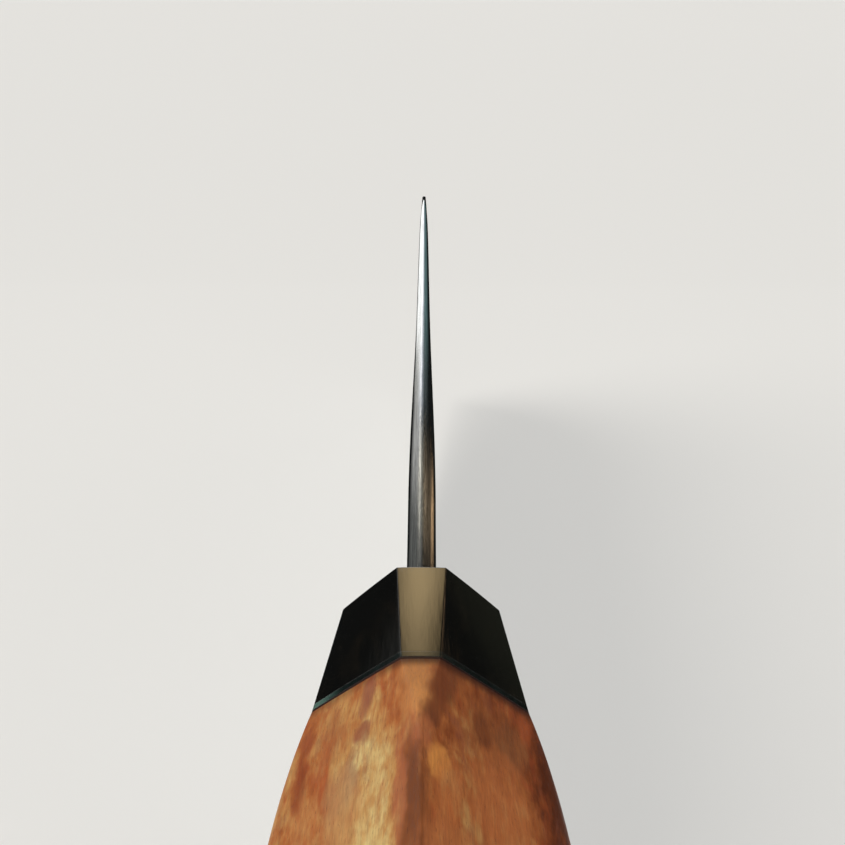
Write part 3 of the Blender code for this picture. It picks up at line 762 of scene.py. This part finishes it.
def woodTone(tree, place, back, across):
    # 0 is the darkest wood and 1 the palest
    look = woodLook
    tone = remap(tree, across, -look["halfChange"], look["halfChange"], look["right"], look["left"])
    for size, detail, warp, offset, swing in look["figure"].values():
        noise = grain(tree, place, size, detail, 0.6, warp, offset)
        tone = calc(tree, "ADD", tone, spread(tree, noise, -swing, swing))
    middle = remap(tree, back, *look["paleBack"], *look["paleLeft"])
    half = remap(tree, back, *look["paleBack"], *look["paleHalf"])
    away = calc(tree, "ABSOLUTE", calc(tree, "DIVIDE", calc(tree, "SUBTRACT", across, middle), half))
    pale = remap(tree, away, 1.25, 0.2, 0.0, look["paleShare"])
    pale = calc(tree, "MULTIPLY", pale, remap(tree, back, *look["paleGrows"]))
    pale = calc(tree, "MULTIPLY", pale, remap(tree, back, *look["paleFades"]))
    tone = calc(tree, "ADD", tone, pale)
    # the right is paler further back; its far side is darkened as painted shade, where the rounding turns
    # away from the light
    lowRight = calc(tree, "MULTIPLY", remap(tree, across, *look["lowRight"]),
                    remap(tree, back, *look["lowRightBack"]))
    tone = calc(tree, "ADD", tone, calc(tree, "MULTIPLY", lowRight, look["lowRightShare"]))
    return calc(tree, "ADD", tone, remap(tree, across, *look["paintedRightShade"], 0.0, look["paintedRightShadeShare"]))


def endGrainShare(tree, place, wander):
    # growth rings, on what faces the butt
    look = woodLook
    normal = addNode(tree, "TexCoord").outputs["Normal"]
    facing = addNode(tree, "SeparateXYZ", {"Vector": normal}).outputs["X"]
    away = addNode(tree, "VectorMath", {0: place, 1: look["pith"]}, operation="DISTANCE").outputs["Value"]
    turn = calc(tree, "ADD", calc(tree, "MULTIPLY", away, look["ringTurn"]),
                calc(tree, "MULTIPLY", wander, look["ringWander"]))
    rings = remap(tree, calc(tree, "SINE", turn), -0.8, 1.0, 0.4, 0.62)
    return calc(tree, "MULTIPLY", remap(tree, facing, -0.55, -0.95), rings)


def figuredWood():
    look = woodLook
    material, tree, shader = newMaterial("figuredWood", Specular_IOR_Level=look["gloss"])
    place = placeInMm(tree)
    axes = addNode(tree, "SeparateXYZ", {"Vector": place}).outputs
    behindJoint = calc(tree, "SUBTRACT", woodHigh.x, axes["X"])
    above = remap(tree, axes["Z"], 0.0, 6.0)
    # the figure wanders: noise shifts every streak and mark along and across the grain
    wander = calc(tree, "SUBTRACT", grain(tree, place, look["wanderSize"], detail=3), 0.5)
    shift = calc(tree, "SUBTRACT", grain(tree, place, look["shiftSize"], detail=2, offset=(4, 4, 9)), 0.5)
    back = calc(tree, "ADD", behindJoint, calc(tree, "MULTIPLY", shift, look["shiftBack"]))
    left = calc(tree, "ADD", axes["Y"], calc(tree, "MULTIPLY", shift, look["shiftLeft"]))
    across = calc(tree, "ADD", left, calc(tree, "MULTIPLY", wander, look["wanderLeft"]))
    color = ramp(tree, woodTone(tree, place, back, across), look["tones"])
    for size, detail, offset, showsFrom, share, stain in look["stains"].values():
        spots = remap(tree, grain(tree, place, size, detail, warp=0.6, offset=offset), showsFrom, 0.74)
        color = blendColor(tree, calc(tree, "MULTIPLY", spots, share), color, stain)
    # the vein runs on to the butt, and the marks lie on the part near the joint
    veinLeft = calc(tree, "ADD", left, calc(tree, "MULTIPLY", wander, look["veinWander"]))
    vein = band(tree, veinLeft, *look["veinAcross"])
    vein = calc(tree, "MULTIPLY", vein, remap(tree, back, *look["veinBack"]))
    color = blendColor(tree, calc(tree, "MULTIPLY", vein, above), color, look["vein"])
    frayed = grain(tree, place, look["frayedSize"], detail=2, rough=0.4, offset=(6, 1, 8))
    ragged = calc(tree, "MULTIPLY", calc(tree, "SUBTRACT", frayed, 0.5), look["ragged"])
    # the marks include painted light on the top facet near the joint
    for mark in look["marks"].values():
        share = calc(tree, "MULTIPLY", woodMark(tree, back, left, ragged, mark), above)
        color = blendColor(tree, share, color, mark[6])
    # painted shade: the wood is darker close to the joint, where shade falls between the parts, most of all
    # on the shaded right
    rim = remap(tree, behindJoint, look["jointShadeDepth"], 0.1, 0.0, look["jointShadeShare"])
    rim = calc(tree, "MULTIPLY", rim, remap(tree, axes["Y"], 1.5, 4.5, 1.0, look["jointShadeLeftShare"]))
    color = blendColor(tree, rim, color, look["joint"])
    color = blendColor(tree, endGrainShare(tree, place, wander), color, look["endGrain"])
    # fine fibres and pores
    fibre = grain(tree, place, look["fibreSize"], detail=2)
    shade = spread(tree, fibre, *look["fibreShade"])
    gray = addNode(tree, "CombineColor", {"Red": shade, "Green": shade, "Blue": shade}).outputs[0]
    color = blendColor(tree, 1.0, color, gray, "MULTIPLY")
    pore = remap(tree, grain(tree, place, look["poreSize"], detail=1, offset=(3, 9, 5)), 0.66, 0.76)
    color = blendColor(tree, calc(tree, "MULTIPLY", pore, look["poreShare"]), color, look["pore"])
    worn = calc(tree, "MULTIPLY", edgeShare(tree), -0.05)
    rough = calc(tree, "ADD", spread(tree, fibre, *look["rough"]), worn)
    height = calc(tree, "SUBTRACT", calc(tree, "MULTIPLY", fibre, 0.5), pore)
    normal = bump(tree, height, look["depth"], 0.5)
    wire(tree, shader, Base_Color=color, Roughness=rough, Normal=normal)
    return material


# Plain wood of the dowel
dowelLook = {
    "pale": paint(206, 176, 132), "ring": paint(178, 142, 98), "fibre": paint(140, 104, 68),
    "ringSize": (30.0, 1.2, 1.2), "fibreSize": (8.0, 0.2, 0.2), "depth": 0.02, "rough": (0.55, 0.7),
}


def dowelWood():
    look = dowelLook
    material, tree, shader = newMaterial("dowelWood")
    place = placeInMm(tree)
    ring = grain(tree, place, look["ringSize"], detail=3)
    fibre = grain(tree, place, look["fibreSize"], detail=2)
    color = blendColor(tree, remap(tree, ring, 0.35, 0.65), look["pale"], look["ring"])
    color = blendColor(tree, remap(tree, fibre, 0.5, 0.8, 0.0, 0.3), color, look["fibre"])
    rough = spread(tree, fibre, *look["rough"])
    normal = bump(tree, fibre, look["depth"], 0.5)
    wire(tree, shader, Base_Color=color, Roughness=rough, Normal=normal)
    return material


blade = makeBlade(satinSteel(), polishedSteel(), edgeSteel())
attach(blade, "root")
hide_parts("blade")
print("blade made:", len(blade.data.polygons), "faces")

ferrule = makeFerrule(blackHorn())
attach(ferrule, "root")
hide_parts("ferrule")

spacer = makePlate("spacerPlate", spacerLow, spacerHigh, tealPlate())
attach(spacer, "root")
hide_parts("spacer")

liner = makePlate("linerPlate", linerLow, linerHigh, darkFibre())
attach(liner, "root")
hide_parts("liner")

wood = makeWood(figuredWood())
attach(wood, "root")
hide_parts("handle_body")
print("handle made:", sum(len(p.data.polygons) for p in (ferrule, spacer, liner, wood)), "faces")

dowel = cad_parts["tang_dowel"]
dowel.data.materials.clear()
dowel.data.materials.append(dowelWood())

# Studio
studio = {
    "floorColor": paint(238, 237, 234), "floorCloud": paint(234, 233, 230), "cloudSize": (300.0,) * 3,
    "floorSide": 24.0, "floorRough": 0.85,
    "pale": paint(226, 226, 224), "ambient": 0.28, "steadyFloor": 0.45,
    # from which direction, how wide in degrees, how strong
    "lamps": {
        "key": {"from": (-0.26, 0.75, 0.62), "width": 44.0, "strength": 2.0, "color": (1.0, 0.96, 0.90)},
        "fill": {"from": (0.0, -0.80, 0.40), "width": 70.0, "strength": 0.65, "color": (1.0, 0.97, 0.94)},
        "top": {"from": (0.05, 0.15, 1.0), "width": 80.0, "strength": 0.8, "color": (1.0, 0.98, 0.96)},
    },
}


def seenDirectly(tree):
    # 1 for what the camera, a reflection or clear glass looks at, else 0
    path = addNode(tree, "LightPath").outputs
    seen = calc(tree, "ADD", path["Is Camera Ray"], path["Is Glossy Ray"])
    return calc(tree, "ADD", seen, path["Is Transmission Ray"], clamp=True)


def makeFloor():
    half = studio["floorSide"] / 2
    z = floorHeight * mm
    mesh = bpy.data.meshes.new("floor")
    mesh.from_pydata([(-half, -half, z), (half, -half, z), (half, half, z), (-half, half, z)],
                     [], [(0, 1, 2, 3)])
    material, tree, shader = newMaterial("paleFloor", Roughness=studio["floorRough"], Specular_IOR_Level=0.1)
    cloud = grain(tree, placeInMm(tree), studio["cloudSize"], detail=2)
    color = blendColor(tree, spread(tree, cloud), studio["floorColor"], studio["floorCloud"])
    wire(tree, shader, Base_Color=color)
    # for the camera and in reflections, part of the floor keeps one pale tone, which lightens shadows
    steady = addNode(tree, "Emission", {"Color": studio["pale"], "Strength": 1.0}).outputs[0]
    share = calc(tree, "MULTIPLY", seenDirectly(tree), studio["steadyFloor"])
    both = addNode(tree, "MixShader", {0: share, 1: shader.outputs[0], 2: steady}).outputs[0]
    tree.links.new(both, tree.nodes["Material Output"].inputs["Surface"])
    mesh.materials.append(material)
    floor = bpy.data.objects.new("floor", mesh)
    bpy.context.scene.collection.objects.link(floor)


def makeLamp(name, setup):
    # a wide sun stands for a large soft box far off, so the floor is lit evenly
    lamp = bpy.data.lights.new(name, "SUN")
    lamp.angle = math.radians(setup["width"])
    lamp.energy = setup["strength"]
    lamp.color = setup["color"]
    placed = bpy.data.objects.new(name, lamp)
    placed.location = setup["from"]
    placed.rotation_euler = (-placed.location).to_track_quat("-Z", "Y").to_euler()
    bpy.context.scene.collection.objects.link(placed)


def makeWorld():
    world = bpy.data.worlds.new("studio")
    bpy.context.scene.world = world
    world.use_nodes = True
    tree = world.node_tree
    background = tree.nodes["Background"]
    background.inputs["Color"].default_value = studio["pale"]
    strength = remap(tree, seenDirectly(tree), 0.0, 1.0, studio["ambient"], 1.0)
    tree.links.new(strength, background.inputs["Strength"])


# A dark screen ahead of the tip and a dark cloth before it, which only reflections see. Soft lit
# panels on the screen give the highlights. Seen from the ferrule, cone is degrees away from straight
# ahead, and roll is degrees round from the top, with the left below zero.
screen = {
    "above": 0.007, "clothStart": 0.24, "ahead": 1.0, "halfWidth": 1.2, "height": 0.9,  # metres
    "clothAbove": 0.5,  # mm over the floor
    "dark": (0.010, 0.011, 0.011),
    # cone, roll, how soft the rims of either are, light
    "panels": {
        "window": ((0.0, 16.95), (-76.0, -10.0), (0.5, 8.0), (1.6, 1.6, 1.55)),
        "windowRight": ((0.0, 16.7), (-16.0, 6.0), (0.5, 12.0), (1.03, 1.02, 1.07)),
        "windowEnd": ((16.8, 18.0), (-42.0, -12.0), (0.4, 14.0), (0.27, 0.24, 0.24)),
        "grayLeft": ((16.8, 18.4), (-70.0, -14.0), (0.5, 10.0), (0.68, 0.67, 0.62)),
        "grayMiddle": ((18.5, 20.9), (-63.0, -18.0), (0.4, 12.0), (0.53, 0.52, 0.49)),
        "grayNear": ((20.9, 23.4), (-70.0, 2.0), (0.5, 8.0), (0.13, 0.13, 0.12)),
        "strip": ((17.9, 18.85), (-18.0, -10.0), (0.25, 6.0), (1.15, 1.10, 1.05)),
        "stripHaze": ((17.1, 19.15), (-16.0, -10.0), (0.3, 24.0), (0.70, 0.75, 0.82)),
        "stripNear": ((20.0, 20.95), (-18.0, -9.0), (0.35, 7.0), (1.60, 1.50, 1.28)),
        "nearHaze": ((20.45, 21.1), (-14.0, -4.0), (0.3, 22.0), (0.84, 0.77, 0.60)),
        "rightHaze": ((17.2, 18.9), (0.0, 34.0), (0.7, 16.0), (0.11, 0.13, 0.13)),
        "teal": ((0.0, 17.1), (0.0, 50.0), (0.5, 18.0), (0.13, 0.22, 0.22)),
        "warmMiddle": ((20.75, 21.5), (4.0, 24.0), (0.35, 8.0), (0.50, 0.38, 0.24)),
        "warmHaze": ((20.7, 22.1), (16.0, 52.0), (0.5, 12.0), (0.21, 0.15, 0.09)),
        "warmEdge": ((20.95, 22.2), (52.0, 69.0), (0.45, 5.0), (0.86, 0.54, 0.28)),
        "rightGlow": ((17.0, 22.0), (80.0, 106.0), (1.5, 6.0), (0.020, 0.020, 0.011)),
    },
}
# A small warm card above the spine, close enough that only the ferrule's top facet reflects it.
# Its glow leans a little to the left and fades sideways and upwards.
card = {
    "ahead": 14.0, "low": 14.2, "high": 27.0, "halfWidth": 6.5,  # mm ahead of the ferrule, above the axis
    "leanFrom": 15.0, "leanTo": 22.0, "lowLeft": 0.1, "highLeft": 0.6, "fade": 5.8,
    "dimAt": 25.0, "brightAt": 16.0, "light": (1.86, 1.37, 0.70), "dim": 0.62,
}


def newGlow(name):
    material = bpy.data.materials.new(name)
    material.use_nodes = True
    tree = material.node_tree
    tree.nodes.remove(tree.nodes["Principled BSDF"])
    return material, tree


def wireGlow(tree, color, strength):
    glow = addNode(tree, "Emission", {"Color": color, "Strength": strength}).outputs[0]
    tree.links.new(glow, tree.nodes["Material Output"].inputs["Surface"])


def reflectedOnly(name, mesh, material):
    mesh.materials.append(material)
    piece = bpy.data.objects.new(name, mesh)
    bpy.context.scene.collection.objects.link(piece)
    piece.visible_camera = piece.visible_diffuse = piece.visible_shadow = False
    piece.visible_transmission = piece.visible_volume_scatter = False


def makeScreen():
    origin = (frontX * mm, 0.0, screen["above"])
    near, far = origin[0] + screen["clothStart"], origin[0] + screen["ahead"]
    wide, low, high = screen["halfWidth"], (floorHeight + screen["clothAbove"]) * mm, screen["height"]
    points = [(near, -wide, low), (near, wide, low), (far, wide, low), (far, -wide, low),
              (far, wide, high), (far, -wide, high)]
    mesh = bpy.data.meshes.new("screen")
    mesh.from_pydata(points, [], [(0, 1, 2, 3), (3, 2, 4, 5)])
    material, tree = newGlow("screenGlow")
    coordinates = addNode(tree, "TexCoord").outputs["Object"]
    ahead = addNode(tree, "VectorMath", {0: coordinates, 1: origin}, operation="SUBTRACT").outputs[0]
    ahead = addNode(tree, "VectorMath", {0: ahead}, operation="NORMALIZE").outputs[0]
    axes = addNode(tree, "SeparateXYZ", {"Vector": ahead}).outputs
    degree = 180 / math.pi
    cone = calc(tree, "MULTIPLY", calc(tree, "ARCCOSINE", axes["X"]), degree)
    right = calc(tree, "MULTIPLY", axes["Y"], -1.0)
    roll = calc(tree, "MULTIPLY", calc(tree, "ARCTAN2", right, axes["Z"]), degree)
    color = (*screen["dark"], 1.0)
    for panel in screen["panels"].values():
        shares = []
        for value, (start, end), soft in zip((cone, roll), panel[:2], panel[2]):
            shares.append(band(tree, value, (start + end) / 2, (end - start) / 2, soft))
        color = blendColor(tree, calc(tree, "MULTIPLY", *shares), color, (*panel[3], 1.0), "ADD")
    wireGlow(tree, color, 1.0)
    reflectedOnly("screen", mesh, material)


def makeCard():
    x, low, high, half = frontX + card["ahead"], card["low"], card["high"], card["halfWidth"]
    corners = [(x, -half, low), (x, half, low), (x, half, high), (x, -half, high)]
    mesh = bpy.data.meshes.new("card")
    mesh.from_pydata([Vector(corner) * mm for corner in corners], [], [(0, 1, 2, 3)])
    material, tree = newGlow("cardGlow")
    axes = addNode(tree, "SeparateXYZ", {"Vector": placeInMm(tree)}).outputs
    middle = remap(tree, axes["Z"], card["leanFrom"], card["leanTo"], card["lowLeft"], card["highLeft"])
    across = calc(tree, "ABSOLUTE", calc(tree, "SUBTRACT", axes["Y"], middle))
    across = remap(tree, across, card["fade"], 0.0)
    upright = remap(tree, axes["Z"], card["dimAt"], card["brightAt"], card["dim"], 1.0)
    wireGlow(tree, (*card["light"], 1.0), calc(tree, "MULTIPLY", across, upright))
    reflectedOnly("card", mesh, material)


makeFloor()
makeWorld()
makeScreen()
makeCard()
for lampName, lampSetup in studio["lamps"].items():
    makeLamp(lampName, lampSetup)
bpy.context.scene.view_settings.view_transform = "Standard"
print("studio made")

# Camera, where the photograph was taken: behind and above the handle, looking along the spine
cameraPlace = {
    "focalPixels": 3550.0, "pictureSide": 845.0, "sensorWidth": 36.0,
    "behindFront": 334.5, "aboveAxis": 150.5, "aside": 0.0,  # mm
    "pitch": 20.45, "roll": 0.4,  # degrees
    "clipStart": 0.01,  # metres
}


def makeCamera():
    c = cameraPlace
    camera = bpy.data.cameras.new("camera")
    camera.sensor_width = c["sensorWidth"]
    camera.lens = c["focalPixels"] / c["pictureSide"] * c["sensorWidth"]
    camera.clip_start = c["clipStart"]
    placed = bpy.data.objects.new("camera", camera)
    turn = Matrix.Rotation(-math.pi / 2, 4, "Z") @ Matrix.Rotation(math.radians(90 - c["pitch"]), 4, "X")
    turn = turn @ Matrix.Rotation(math.radians(c["roll"]), 4, "Z")
    turn.translation = Vector((frontX - c["behindFront"], c["aside"], c["aboveAxis"])) * mm
    placed.matrix_world = turn
    bpy.context.scene.collection.objects.link(placed)
    bpy.context.scene.camera = placed


makeCamera()
